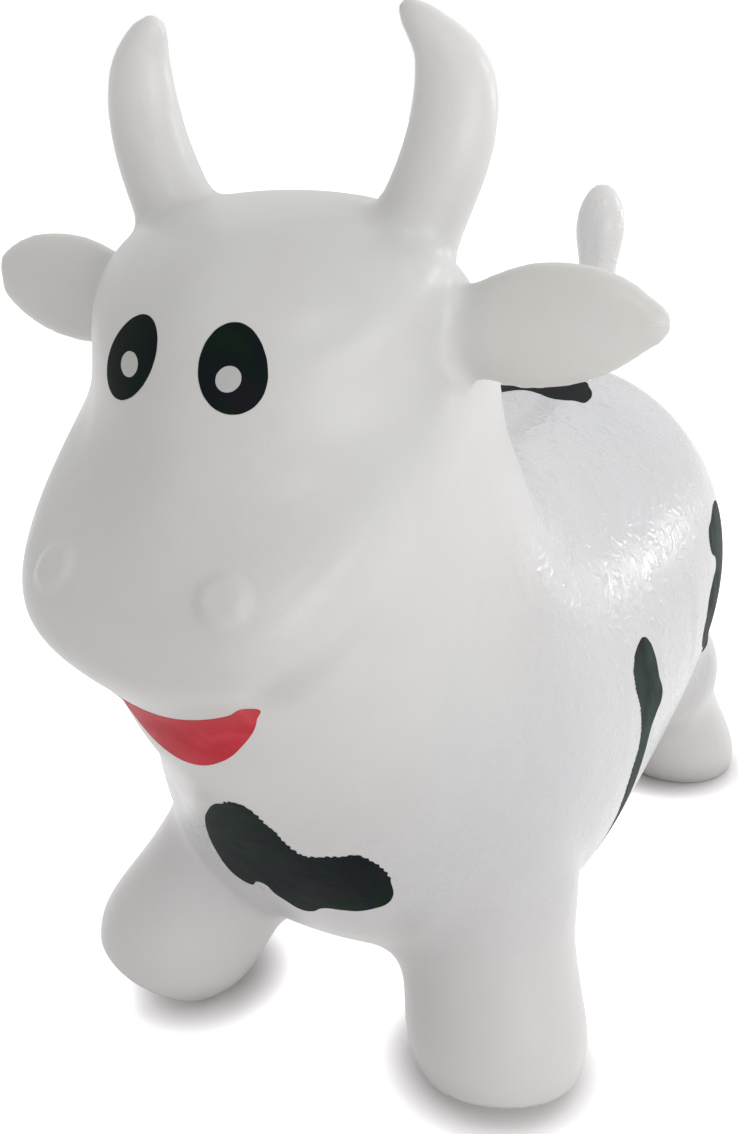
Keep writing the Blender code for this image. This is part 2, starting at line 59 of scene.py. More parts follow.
chest_outline = (
    (.001, .1925), (.006, .1950), (.009, .1945), (.0115, .1920), (.013, .188), (.0145, .181),
    (.017, .1755), (.018, .1685), (.020, .162), (.022, .1585), (.026, .1562), (.0325, .1568),
    (.0385, .1570), (.0445, .1582), (.048, .156), (.0515, .1515), (.054, .146), (.0555, .139),
    (.055, .1285), (.0515, .1215), (.0455, .1175), (.037, .114), (.031, .1135), (.021, .1125),
    (.0125, .106), (.0065, .105), (0, .1105), (-.004, .1145), (-.007, .1210), (-.0115, .1210),
    (-.018, .1142), (-.026, .1145), (-.031, .119), (-.0335, .131), (-.0325, .145), (-.025, .164),
    (-.016, .177), (-.005, .189),
)
flank_outline = (
    (-.010, .2005), (-.003, .196), (.003, .185), (.0065, .172), (.0125, .157), (.003, .151),
    (-.0065, .145), (-.012, .134), (-.018, .118), (-.025, .100), (-.033, .085), (-.041, .080),
    (-.044, .092), (-.0400, .110), (-.0385, .124), (-.034, .135), (-.0275, .143), (-.025, .153),
    (-.0265, .167), (-.0315, .179), (-.0325, .190), (-.0265, .197), (-.018, .200),
)
rump_outline = (
    (.180, .220), (.156, .216), (.141, .211), (.1387, .2015), (.150, .190), (.1364, .1825),
    (.1226, .174), (.118, .165), (.112, .154), (.118, .144), (.134, .136), (.152, .124),
    (.170, .118), (.186, .124), (.194, .142), (.188, .160), (.196, .180), (.205, .196),
    (.198, .214),
)
back_outline = (
    (-.008, .104), (0, .1038), (.0065, .1021), (.013, .107), (.020, .1155), (.026, .1275),
    (.0305, .1363), (.0334, .1466), (.038, .1405), (.0425, .1327), (.0447, .1172), (.0435, .1105),
    (.039, .1075), (.033, .1005), (.0265, .0966), (.0195, .098), (.0125, .099), (.0075, .0978),
    (.002, .0925), (-.002, .088), (-.022, .084), (-.040, .094), (-.048, .112), (-.038, .128),
    (-.040, .148), (-.026, .158), (-.012, .146), (-.014, .126), (-.012, .108),
)

# How wide a scallop of the patches' brushed edges is.
scallop_width = .0030

# Rings of the trunk from the rump to the crown: y and z of the back edge, y and z of the front
# edge, half width, how far from back to front the ring is widest, and how square its front and its
# back are.
trunk_rings = (
    (.2854, .2260, .2854, .1061, .0655, .50, 1.00, 1.00),
    (.2623, .2728, .2623, .0730, .0996, .52, 1.05, 1.00),
    (.2151, .3026, .2151, .0500, .1231, .53, 1.15, 1.00),
    (.1494, .3060, .1494, .0424, .1310, .53, 1.30, 1.00),
    (.0802, .2999, .0704, .0373, .1310, .54, 1.40, 1.00),
    (.0304, .3012, -.0096, .0347, .1284, .56, 1.60, 1.00),
    (-.0096, .3050, -.0897, .0347, .1258, .58, 1.85, 1.00),
    (-.0532, .3178, -.1651, .0653, .1166, .58, 1.25, 1.05),
    (-.0578, .3323, -.2001, .1305, .1000, .54, 1.04, 1.20),
    (-.0623, .3469, -.2385, .1952, .0840, .50, .94, 1.40),
    (-.0704, .3658, -.2592, .2198, .0820, .48, .96, 1.55),
    (-.0784, .3824, -.2668, .2455, .0815, .46, 1.05, 1.60),
    (-.0864, .3943, -.2828, .2592, .0800, .45, 1.40, 1.60),
    (-.0958, .4038, -.2955, .2748, .0805, .44, 2.10, 1.60),
    (-.1052, .4109, -.2992, .2950, .0810, .43, 2.20, 1.55),
    (-.1132, .4168, -.2868, .3149, .0730, .43, .78, 1.50),
    (-.1213, .4215, -.2732, .3329, .0720, .42, .66, 1.40),
    (-.1293, .4263, -.2622, .3549, .0745, .40, .72, 1.30),
    (-.1374, .4304, -.2561, .3801, .0772, .40, .84, 1.15),
    (-.1454, .4342, -.2446, .4061, .0610, .37, .62, 1.00),
    (-.1588, .4366, -.2231, .4258, .0320, .44, .70, 1.00),
)
# Rings of the left horn from inside the head to the tip: middle, half width and half depth. The
# wide way of each ring runs outwards and a little back.
horn_rings = (
    ((.0462, -.1680, .3880), .0192, .0188),
    ((.0464, -.1680, .3990), .0194, .0194),
    ((.0522, -.1675, .4200), .0194, .0188),
    ((.0656, -.1672, .4450), .0180, .0168),
    ((.0706, -.1672, .4680), .0162, .0142),
    ((.0688, -.1690, .4862), .0138, .0114),
    ((.0590, -.1742, .4992), .0070, .0054),
)
# Rings of the left ear from inside the head to the tip: middle, half height, half thickness.
ear_rings = (
    ((.0595, -.1722, .3862), .0135, .0114),
    ((.0750, -.1722, .3862), .0148, .0114),
    ((.0950, -.1722, .3895), .0236, .0128),
    ((.1170, -.1722, .3915), .0246, .0124),
    ((.1390, -.1722, .3936), .0186, .0090),
    ((.1556, -.1722, .3949), .0046, .0034),
)
# Rings of the tail from inside the rump to the tip: middle, radius.
tail_rings = (
    ((0, .2575, .2456), .0185),
    ((0, .2639, .2712), .0164),
    ((0, .2719, .2968), .0137),
    ((0, .2751, .3288), .0125),
    ((0, .2751, .3576), .0129),
    ((0, .2751, .3800), .0191),
    ((0, .2751, .3992), .0164),
    ((0, .2751, .4152), .0066),
)
# Rings of a leg from below its sole up into the belly: how far up, radius, and how far it has
# settled from the sole's tilt to the leg's own lean. Its upper part begins where upper_leg says.
leg_rings = (
    (-.0100, .0300, .00),
    (-.0100, .0380, .00),
    (-.0040, .0404, .00),
    (.0020, .0436, .00),
    (.0090, .0474, .10),
    (.0180, .0488, .28),
    (.0320, .0480, .50),
    (.0540, .0458, .78),
    (.0713, .0466, 1.00),
    (.0920, .0515, 1.00),
    (.1150, .0515, 1.00),
    (.1288, .0337, 1.00),
)
upper_leg = .08
# The legs: the middle of the sole, the tilt of the sole, the lean of the leg, and how thick the leg
# is below and at its top. The front feet stand on the inner edges of their soles.
front_legs = (
    ("front_left_leg_form", (.0950, -.1382, .0070), (.12, -.22), (.26, -.28), .965, .98),
    ("front_right_leg_form", (-.1040, -.1502, .0150), (-.39, -.30), (-.55, -.40), .94, .86),
)
rear_legs = (
    ("rear_left_leg_form", (.1030, .2260, .0005), (.06, .04), (.28, .48), .91, 1.06),
    ("rear_right_leg_form", (-.1030, .2260, .0005), (-.06, .04), (-.28, .48), .91, 1.06),
)
# For each side, how far the horn's tip is drawn outwards, back and up, and the ear's tip outwards.
tip_pulls = (
    (1, (-.0065, -.0015, .0045), .0026),
    (-1, (-.0030, -.0015, .0020), -.0030),
)
tip_radius, horn_pull_reach, ear_pull_reach = .0035, .016, .010
# A nostril: how far to the side and how high up it is, how far it stands out and spreads, and how
# far round it the skin is smoothed.
nostril_side, nostril_up = .0366, .3092
nostril_lift, nostril_radius, nostril_smoothing = .0015, .0060, .0180
# Fillets in the hollows between the trunk and the legs, and at the horns, the ears and the tail.
leg_fillet, leg_grain = .010, .004
limb_fillet, limb_grain = .0022, .0025
# Where the neck divides the head from the torso, and which way the head lies.
neck_middle, neck_facing = (0, -.2177, .1627), (0, -.7467, .6653)
# How far the soles stay above the floor, and how far from a sole's plane its softened rim runs.
sole_gap = .0003
rim_low, rim_high = .0001, .0022
# How far from the middle of its sole and how high up the skin of a front foot reaches.
foot_reach, foot_top = .075, .06
# How far paint and glints stand off the skin, and how deep they sit in it.
paint_height, glint_height = .00015, .00028
paint_depth = .0002
# How a drawn outline is turned to face forward, sideways or upward.
forward, sideways, upward = (math.pi / 2, 0, 0), (math.pi / 2, 0, math.pi / 2), (0, 0, 0)


def deselect():
    bpy.ops.object.select_all(action="DESELECT")


def take(obj):
    """Makes the object the only selected one, and the active one."""
    deselect()
    obj.select_set(True)
    bpy.context.view_layer.objects.active = obj


def edit(obj):
    take(obj)
    bpy.ops.object.mode_set(mode="EDIT")
    bpy.ops.mesh.select_all(action="DESELECT")


def leave():
    bpy.ops.object.mode_set(mode="OBJECT")


def pick(obj, kind, test):
    """Selects the vertices, edges or faces that pass the test, in edit mode. Returns how many."""
    bpy.ops.mesh.select_mode(type=kind)
    bpy.ops.mesh.select_all(action="DESELECT")
    mesh = bmesh.from_edit_mesh(obj.data)
    found = 0
    for item in {"VERT": mesh.verts, "EDGE": mesh.edges, "FACE": mesh.faces}[kind]:
        if test(item):
            item.select_set(True)
            found += 1
    bmesh.update_edit_mesh(obj.data)
    return found


def turn(angle, axis, centre):
    """Turns what is selected by the angle, the right-handed way, about the centre."""
    bpy.ops.transform.rotate(
        value=-angle, orient_axis=axis, orient_type="GLOBAL", center_override=centre)


def finish_with(obj, kind, **settings):
    """Adds a modifier with those settings and applies it."""
    take(obj)
    modifier = obj.modifiers.new(kind.lower(), kind)
    for key, value in settings.items():
        setattr(modifier, key, value)
    bpy.ops.object.modifier_apply(modifier=modifier.name)


def shaped_tube(name, rings, points, twist=0):
    """A closed tube, shaped ring by ring from a tall cylinder.

    Each ring has its middle, half width, reach to the back, reach to the front and how square its
    front and its back are, and how far it tips about X and then about Y. The twist turns each ring
    in its own plane first.
    """
    stack = 2
    count = len(rings)
    growth = 3 / (2 + math.cos(2 * math.pi / points))
    deselect()
    bpy.ops.mesh.primitive_cylinder_add(
        vertices=points, radius=1, depth=count - 1, location=(0, 0, stack + (count - 1) / 2))
    obj = bpy.context.object
    obj.name = name
    bpy.ops.object.transform_apply(location=True)
    edit(obj)
    pick(obj, "EDGE", lambda edge: abs(edge.verts[0].co.z - edge.verts[1].co.z) > .5)
    bpy.ops.mesh.subdivide(number_cuts=count - 2)

    def on_ring(v):
        return abs(v.co.z - centre.z) < .1

    for place, (middle, half_width, back, front, squares, tip, sway) in enumerate(rings):
        centre = Vector((0, 0, stack + place))
        for half, square in zip((-1, 1), squares):
            if square == 1:
                continue
            for step in range(1, points // 4):
                across = math.sin(2 * math.pi * step / points)
                if pick(obj, "VERT", lambda v: on_ring(v) and v.co.y * half > .01
                        and abs(abs(v.co.x) - across) < .01):
                    narrowed = across ** (1 / square - 1)
                    bpy.ops.transform.resize(value=(narrowed, 1, 1), center_override=centre)
        pick(obj, "VERT", lambda v: on_ring(v) and v.co.y > 0)
        bpy.ops.transform.resize(value=(1, back * growth, 1), center_override=centre)
        pick(obj, "VERT", lambda v: on_ring(v) and v.co.y < 0)
        bpy.ops.transform.resize(value=(1, front * growth, 1), center_override=centre)
        pick(obj, "VERT", on_ring)
        bpy.ops.transform.resize(value=(half_width * growth, 1, 1), center_override=centre)
        if twist:
            turn(twist, "Z", centre)
        if tip:
            turn(tip, "X", centre)
        if sway:
            turn(sway, "Y", centre)
        bpy.ops.transform.translate(value=Vector(middle) - centre)
    bpy.ops.mesh.select_all(action="SELECT")
    bpy.ops.mesh.normals_make_consistent(inside=False)
    leave()
    finish_with(obj, "SUBSURF", levels=2, render_levels=2)
    return obj


def trunk():
    rings = []
    for back_y, back_z, front_y, front_z, half_width, widest, *squares in trunk_rings:
        back, front = Vector((0, back_y, back_z)), Vector((0, front_y, front_z))
        middle = back.lerp(front, widest)
        along = back - front
        tip = math.atan2(along.z, along.y)
        to_back, to_front = (back - middle).length, (front - middle).length
        rings.append((middle, half_width, to_back, to_front, squares, tip, 0))
    return shaped_tube("trunk", rings, 24)


def horns():
    """Both horns, oval across, with their wide way turned a little to the back."""
    rings = [(middle, wide, deep, deep, (1, 1), 0, 0) for middle, wide, deep in horn_rings]
    horn = shaped_tube("horns", rings, 16, twist=math.radians(25))
    finish_with(horn, "MIRROR", use_mirror_merge=False)
    return horn


def ears():
    rings = [
        (middle, high, thick, thick, (1, 1), 0, math.pi / 2) for middle, high, thick in ear_rings]
    ear = shaped_tube("ears", rings, 16)
    finish_with(ear, "MIRROR", use_mirror_merge=False)
    return ear


def tail_tube():
    rings = [(middle, radius, radius, radius, (1, 1), 0, 0) for middle, radius in tail_rings]
    return shaped_tube("tail", rings, 16)


def leg(name, sole, tilt, lean, thick, top):
    """A stub leg. Tilt and lean are x and y of the sole's facing and of the leg, for 1 of drop."""
    rings = []
    down = Vector((*lean, -1)).normalized()
    flat = Vector((*tilt, -1)).normalized()
    for up, radius, settled in leg_rings:
        radius *= top if up > upper_leg else thick
        facing = -flat.lerp(down, settled).normalized()
        sway = math.atan2(facing.x, facing.z)
        tip = -math.asin(facing.y)
        rings.append((Vector(sole) - down * up, radius, radius, radius, (1, 1), tip, sway))
    return shaped_tube(name, rings, 16)


def joined(name, first, *others):
    take(first)
    for other in others:
        other.select_set(True)
    bpy.ops.object.join()
    first.name = name
    return first


def fuse(obj, fillet, grain):
    """Makes one skin of forms that run into each other, with such a fillet in the hollows."""
    finish_with(obj, "REMESH", mode="VOXEL", voxel_size=grain)
    finish_with(obj, "SMOOTH", factor=.5, iterations=2)
    finish_with(obj, "DISPLACE", mid_level=0, strength=fillet)
    finish_with(obj, "REMESH", mode="VOXEL", voxel_size=grain)
    finish_with(obj, "DISPLACE", mid_level=0, strength=-fillet)
    finish_with(obj, "REMESH", mode="VOXEL", voxel_size=grain)
    finish_with(obj, "SMOOTH", factor=.5, iterations=4)


def swollen(amount, reach):
    """Lifts what is selected off the skin, and less and less what lies within the reach."""
    bpy.ops.transform.shrink_fatten(
        value=amount,
        use_proportional_edit=True,
        proportional_edit_falloff="SMOOTH",
        proportional_size=reach,
        use_proportional_connected=True,
    )


def pulled(way, reach):
    """Pulls what is selected, and less and less what lies within the reach."""
    bpy.ops.transform.translate(
        value=way,
        use_proportional_edit=True,
        proportional_edit_falloff="SMOOTH",
        proportional_size=reach,
        use_proportional_connected=True,
    )


def farthest(skin, test, distance):
    """Of the skin's vertices that pass the test, the place of the farthest, in edit mode."""
    places = (v.co.copy() for v in bmesh.from_edit_mesh(skin.data).verts if test(v.co))
    return max(places, key=distance)


def whole_skin():
    """The blown skin in one piece: trunk and legs first, then the horns, the ears and the tail."""
    skin = joined("skin", trunk(), *(leg(*stance) for stance in front_legs + rear_legs))
    fuse(skin, leg_fillet, leg_grain)
    skin = joined("skin", skin, horns(), ears(), tail_tube())
    fuse(skin, limb_fillet, limb_grain)
    for side, (outward, back, up), ear_pull in tip_pulls:
        edit(skin)
        tip = farthest(skin, lambda co: co.x * side > .02, lambda co: co.z)
        pick(skin, "VERT", lambda v: (v.co - tip).length < tip_radius)
        pulled((outward * side, back, up), horn_pull_reach)
        tip = farthest(skin, lambda co: co.x * side > .1 and co.z > .35, lambda co: co.x * side)
        pick(skin, "VERT", lambda v: (v.co - tip).length < tip_radius)
        pulled((ear_pull * side, 0, 0), ear_pull_reach)
        leave()
    return skin


def nostril(skin, side):
    """A low round boss where the line from the front meets the muzzle."""
    middle = skin.ray_cast(Vector((nostril_side * side, -1, nostril_up)), Vector((0, 1, 0)))[1]
    edit(skin)
    for reach in (.024, .020):
        pick(skin, "FACE", lambda f: (f.calc_center_median() - middle).length < reach)
        bpy.ops.mesh.subdivide(number_cuts=1, smoothness=1)
    pick(skin, "VERT", lambda v: (v.co - middle).length < nostril_radius)
    swollen(nostril_lift, nostril_radius)
    pick(skin, "VERT", lambda v: (v.co - middle).length < nostril_smoothing)
    bpy.ops.mesh.vertices_smooth(factor=.5, repeat=4)
    leave()


def open_edges(obj):
    """Selects the rim of what is open, in edit mode."""
    pick(obj, "EDGE", lambda edge: edge.is_boundary)


def flattened(skin, point, facing, near):
    """Cuts the skin flat at a sole and softens the rim. Near tells which places are the foot's."""
    point, facing = Vector(point), Vector(facing).normalized()
    edit(skin)
    pick(skin, "FACE", lambda f: near(f.calc_center_median()))
    bpy.ops.mesh.bisect(plane_co=point, plane_no=facing, clear_outer=True)
    open_edges(skin)
    bpy.ops.mesh.fill_holes(sides=0)
    pick(skin, "VERT", lambda v: near(v.co)
         and rim_low < abs((v.co - point).dot(facing)) < rim_high)
    bpy.ops.mesh.vertices_smooth(factor=.5, repeat=3)
    leave()


def cut_off(skin, name, point, facing, near):
    """Cuts a limb off the skin at the plane through the point.

    Near tells which places belong to the limb's corner of the skin.
    """
    point, facing = Vector(point), Vector(facing).normalized()

    def beyond(face):
        middle = face.calc_center_median()
        return near(middle) and (middle - point).dot(facing) > 0

    edit(skin)
    pick(skin, "FACE", lambda f: near(f.calc_center_median()))
    bpy.ops.mesh.bisect(plane_co=point, plane_no=facing)
    pick(skin, "FACE", beyond)
    bpy.ops.mesh.separate(type="SELECTED")
    leave()
    limb = next(obj for obj in bpy.context.selected_objects if obj != skin)
    limb.name = name
    return limb


def close_smoothly(obj, whole):
    """Closes the cut and keeps the whole skin's shading up to it, so that no seam shows."""
    edit(obj)
    open_edges(obj)
    bpy.ops.mesh.mark_sharp()
    leave()
    finish_with(
        obj, "DATA_TRANSFER", object=whole, use_loop_data=True, data_types_loops={"CUSTOM_NORMAL"},
        loop_mapping="POLYINTERP_NEAREST",
    )
    edit(obj)
    open_edges(obj)
    bpy.ops.mesh.fill_holes(sides=0)
    leave()


def copy_of(obj, name):
    take(obj)
    bpy.ops.object.duplicate()
    made = bpy.context.object
    made.name = name
    return made


def limb_cuts():
    """Each limb's name, its cut's point and facing, how far it bends past it, and where it lies."""
    cuts = []
    for side, word in ((1, "left"), (-1, "right")):

        def at_horn(c, side=side):
            return c.z > .405 and c.x * side > .015 and (c.x * side < .078 or c.z > .427)

        def at_ear(c, side=side):
            return c.x * side > .080 and .350 < c.z < .430

        def at_front_foot(c, side=side):
            return c.x * side > .015 and c.y < -.03 and c.z < .110

        def at_rear_foot(c, side=side):
            return c.x * side > .015 and c.y > .10 and c.z < .110

        cuts += [
            (word + "_horn_form", (.05 * side, -.172, .427), (.48 * side, 0, .88), .042, at_horn),
            (word + "_ear_form", (.0925 * side, -.172, .39), (side, 0, 0), .028, at_ear),
            (
                "front_" + word + "_foot_form",
                (.0804 * side, -.1184, .0560), (.344 * side, -.459, -.819), .032, at_front_foot,
            ),
            (
                "rear_" + word + "_foot_form",
                (.0827 * side, .1961, .0619), (.373 * side, .266, -.889), .034, at_rear_foot,
            ),
        ]

    def at_tail(c):
        return c.z > .245 and c.y > .235 and abs(c.x) < .03

    cuts.append(("tail_form", (0, .2735, .279), (0, .66, .75), .045, at_tail))
    return cuts


def limbs(skin, whole):
    """Cuts the horns, ears, feet and tail off the skin, and the head."""
    made = {}
    for name, point, facing, reach, near in limb_cuts():
        limb = cut_off(skin, name, point, facing, near)
        made[name] = (limb, Vector(point), Vector(facing).normalized() * reach)
    head = cut_off(skin, "head_form", neck_middle, neck_facing, lambda c: c.z > .05)
    close_smoothly(skin, whole)
    close_smoothly(head, whole)
    for limb, *_ in made.values():
        close_smoothly(limb, whole)
    return head, made


def outline_prism(name, outline, place, turned, reach):
    """A prism of a smooth closed outline, drawn as a flat curve, then turned and put in place."""
    deselect()
    bpy.ops.curve.primitive_bezier_circle_add(location=(0, 0, 0))
    curve = bpy.context.object
    curve.name = name
    curve.data.dimensions = "2D"
    curve.data.fill_mode = "BOTH"
    curve.data.extrude = reach
    curve.data.resolution_u = 8
    spline = curve.data.splines[0]
    spline.bezier_points.add(len(outline) - len(spline.bezier_points))
    for point, (across, up) in zip(spline.bezier_points, outline):
        point.co = (across, up, 0)
        point.handle_left_type = point.handle_right_type = "AUTO"
    curve.rotation_euler = turned
    curve.location = place
    bpy.ops.object.convert(target="MESH")
    bpy.ops.object.transform_apply(location=True, rotation=True)
    edit(curve)
    bpy.ops.mesh.select_all(action="SELECT")
    bpy.ops.mesh.remove_doubles(threshold=.00001)
    bpy.ops.mesh.normals_make_consistent(inside=False)
    leave()
    return curve


def film(name, whole, prism, near, proud):
    """A film of paint over the skin, inside the prism, which is then cleared away.

    Near tells which places of the skin are close enough to need it.
    """
    skin = copy_of(whole, name + "_film")
    edit(skin)
    pick(skin, "FACE", lambda f: not near(f.calc_center_median()))
    bpy.ops.mesh.delete(type="FACE")
    bpy.ops.mesh.select_all(action="SELECT")
    bpy.ops.mesh.subdivide(number_cuts=1, smoothness=0)
    leave()
    finish_with(skin, "DISPLACE", mid_level=0, strength=-paint_depth)
    finish_with(skin, "SOLIDIFY", thickness=paint_depth + proud, offset=1)
    finish_with(skin, "BOOLEAN", object=prism, operation="INTERSECT", solver="EXACT")
    bpy.ops.object.shade_smooth_by_angle(angle=math.radians(40))
    bpy.data.objects.remove(prism)
    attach(skin, "body")
    return skin


def scalloped(outline, first, last, height, seed):
    """The outline with small uneven scallops between two of its points."""
    made = []
    count = len(outline)
    shake = seed
    for place in range(count):
        here, there = Vector(outline[place]), Vector(outline[(place + 1) % count])
        made.append(tuple(here))
        if not first <= place < last:
            continue
        steps = max(2, 2 * round((there - here).length / scallop_width))
        outward = Vector((there - here).yx).normalized()
        outward.x = -outward.x
        for step in range(1, steps):
            shake = (shake * 37 + 11) % 101
            rise = height * (step % 2) * (.5 + shake / 101)
            made.append(tuple(here.lerp(there, step / steps) + outward * rise))
    return made


def camera():
    azimuth, elevation = math.radians(26.5), math.radians(21.2)
    focal_pixels, photo_height = 1200, 1134
    level = math.cos(elevation)
    back = Vector((math.sin(azimuth) * level, -math.cos(azimuth) * level, math.sin(elevation)))
    facing = back.to_track_quat("Z", "Y").to_euler()
    deselect()
    bpy.ops.object.camera_add(location=(.250, -.600, .468), rotation=facing)
    made = bpy.context.object
    made.name = "camera"
    made.data.sensor_fit = "AUTO"
    made.data.sensor_width = 36
    made.data.lens = 36 * focal_pixels / photo_height
    made.data.clip_start = .01
    bpy.context.scene.camera = made


def lamp(name, place, spread, power, colour):
    """A far, soft lamp that shines from the place towards the origin."""
    deselect()
    bpy.ops.object.light_add(type="SUN", location=place)
    made = bpy.context.object
    made.name = name
    made.rotation_euler = Vector(place).to_track_quat("Z", "Y").to_euler()
    made.data.angle = math.radians(spread)
    made.data.energy = power
    made.data.color = colour
    return made


def softbox(name, place, aim, size, power, colour):
    """A wide lamp that stands near the object."""
    deselect()
    bpy.ops.object.light_add(type="AREA", location=place)
    made = bpy.context.object
    made.name = name
    made.rotation_euler = (Vector(place) - Vector(aim)).to_track_quat("Z", "Y").to_euler()
    made.data.shape = "RECTANGLE"
    made.data.size, made.data.size_y = size
    made.data.energy = power
    made.data.color = colour


def sparkle(name, place, spread, power, colour):
    """A small far lamp that only shows in the gloss."""
    lamp(name, place, spread, power, colour).visible_diffuse = False


def fed(tree, socket, value):
    """Links the value to the socket, or sets it there."""
    if isinstance(value, bpy.types.NodeSocket):
        tree.links.new(value, socket)
    else:
        socket.default_value = value


def joined_nodes(tree, kind, **given):
    """A node of that kind, with its inputs linked or set by name, or by number as in0, in1."""
    made = tree.nodes.new("ShaderNode" + kind)
    for key, value in given.items():
        numbered = key.startswith("in") and key[2:].isdigit()
        fed(tree, made.inputs[int(key[2:]) if numbered else key.replace("_", " ")], value)
    return made


def worked_out(tree, way, *values):
    """A sum of that kind, with its values linked or set."""
    made = tree.nodes.new("ShaderNodeMath")
    made.operation = way
    for socket, value in zip(made.inputs, values):
        fed(tree, socket, value)
    return made.outputs[0]


def product(tree, first, second):
    return worked_out(tree, "MULTIPLY", first, second)


def blended(tree, share, first, second):
    """The mix of two colours by a share."""
    made = tree.nodes.new("ShaderNodeMix")
    made.data_type = "RGBA"
    fed(tree, made.inputs[0], share)
    for place, colour in ((6, first), (7, second)):
        fed(tree, made.inputs[place], (*colour, 1) if isinstance(colour, tuple) else colour)
    return made.outputs[2]


def rising(tree, value, low, high):
    """Nothing below low, all above high, and smooth between."""
    made = joined_nodes(tree, "MapRange", Value=value, From_Min=low, From_Max=high)
    made.interpolation_type = "SMOOTHSTEP"
    return made.outputs[0]


def falling(tree, value, low, high):
    """All below low, nothing above high, and smooth between."""
    return worked_out(tree, "SUBTRACT", 1.0, rising(tree, value, low, high))


def cloud(
    tree, place, scale, detail, rough=.5, twist=0, kind="FBM", stretch=(1, 1, 1), shift=(0, 0, 0)
):
    """Uneven shades, the finer the larger the scale. The shift picks another part of them."""
    moved = joined_nodes(tree, "Mapping", Vector=place, Scale=stretch, Location=shift)
    made = joined_nodes(
        tree, "TexNoise", Vector=moved.outputs[0],
        Scale=scale, Detail=detail, Roughness=rough, Distortion=twist,
    )
    made.noise_type = kind
    return made.outputs[0]


def seen_directly(tree):
    """Whether a ray comes from the camera, from a reflection or through something clear."""
    rays = tree.nodes.new("ShaderNodeLightPath").outputs
    seen = worked_out(tree, "MAXIMUM", rays["Is Camera Ray"], rays["Is Glossy Ray"])
    return worked_out(tree, "MAXIMUM", seen, rays["Is Transmission Ray"])


def new_finish(name):
    made = bpy.data.materials.new(name)
    made.use_nodes = True
    tree = made.node_tree
    place = tree.nodes.new("ShaderNodeTexCoord").outputs["Object"]
    return made, tree, tree.nodes["Principled BSDF"], place


def raised(tree, shader, *layers):
    """Puts layers of relief on the finish, each with its height and how high it stands."""
    under = None
    for height, depth in layers:
        made = joined_nodes(tree, "Bump", Height=height, Distance=depth, Strength=1.0)
        if under:
            tree.links.new(under, made.inputs["Normal"])
        under = made.outputs[0]
    tree.links.new(under, shader.inputs["Normal"])


